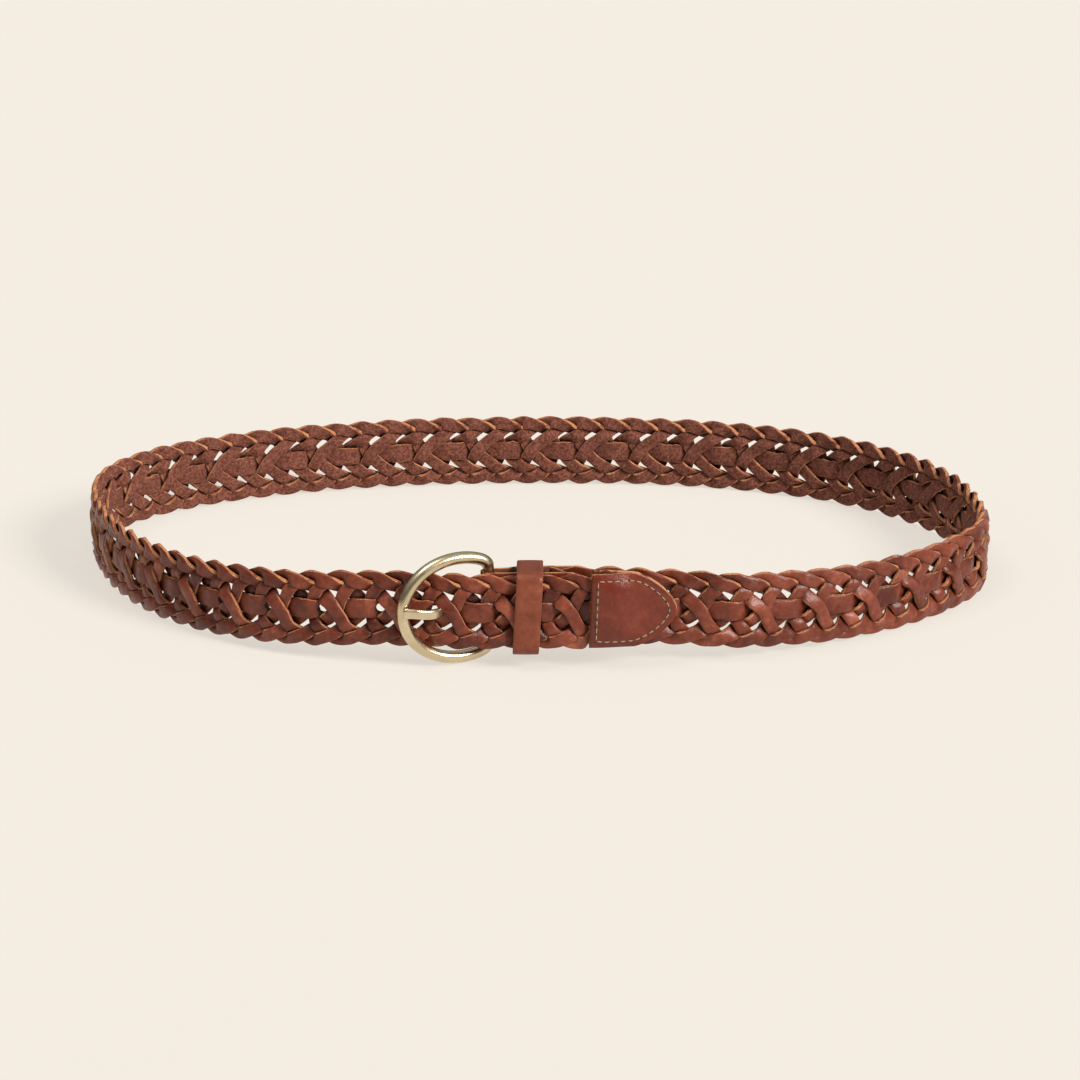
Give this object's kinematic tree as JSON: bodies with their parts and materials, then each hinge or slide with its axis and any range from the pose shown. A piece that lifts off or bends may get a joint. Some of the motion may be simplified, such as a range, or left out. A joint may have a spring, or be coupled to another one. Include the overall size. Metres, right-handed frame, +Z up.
{
  "type": "leather belt",
  "caption": "Braided leather belt closed in a loop: strands woven round a centre strap, horseshoe buckle with prong, keeper and sewn pointed tip.",
  "frame": {"origin": "centre of the belt's footprint, at the plane it stands on", "axes": "+Z up across the strap's width, +X right along the front, -Y out of the front where the buckle is"},
  "size_m": [0.3664, 0.248, 0.0444],
  "materials": {
    "leather_grain": "oiled reddish brown grain, raw cut edges",
    "leather_sewn": "smooth, lightly polished",
    "leather_keeper": "smooth, lightly polished",
    "brass_satin": "satin antique",
    "thread_tan": "waxed thread"
  },
  "bodies": {
    "belt": {"strand_1": "leather_grain", "strand_2": "leather_grain", "strand_3": "leather_grain", "strand_4": "leather_grain", "strand_5": "leather_grain", "strand_6": "leather_grain", "centre_strap": "leather_grain", "chape": "leather_sewn", "chape_thread_front": "thread_tan", "chape_thread_back": "thread_tan", "tip_front": "leather_sewn", "tip_back": "leather_sewn", "tip_thread_front": "thread_tan", "tip_thread_back": "thread_tan"},
    "frame": {"buckle_frame": "brass_satin"},
    "tongue": {"prong": "brass_satin"},
    "loop": {"keeper": "leather_keeper"}
  },
  "joints": [
    {"name": "frame_swing", "type": "hinge", "parent": "belt", "child": "frame", "pos_m": [-0.01737, -0.10651, 0.0222], "axis": [0, 0, 1], "range_deg": [0, 3]},
    {"name": "prong_lift", "type": "hinge", "parent": "frame", "child": "tongue", "pos_m": [-0.01737, -0.10651, 0.0222], "axis": [0, 0, 1], "range_deg": [0, 3]},
    {"name": "keeper_slide", "type": "slide", "parent": "belt", "child": "loop", "axis": [1, 0, 0], "range_m": [-0.005, 0.015]}
  ]
}
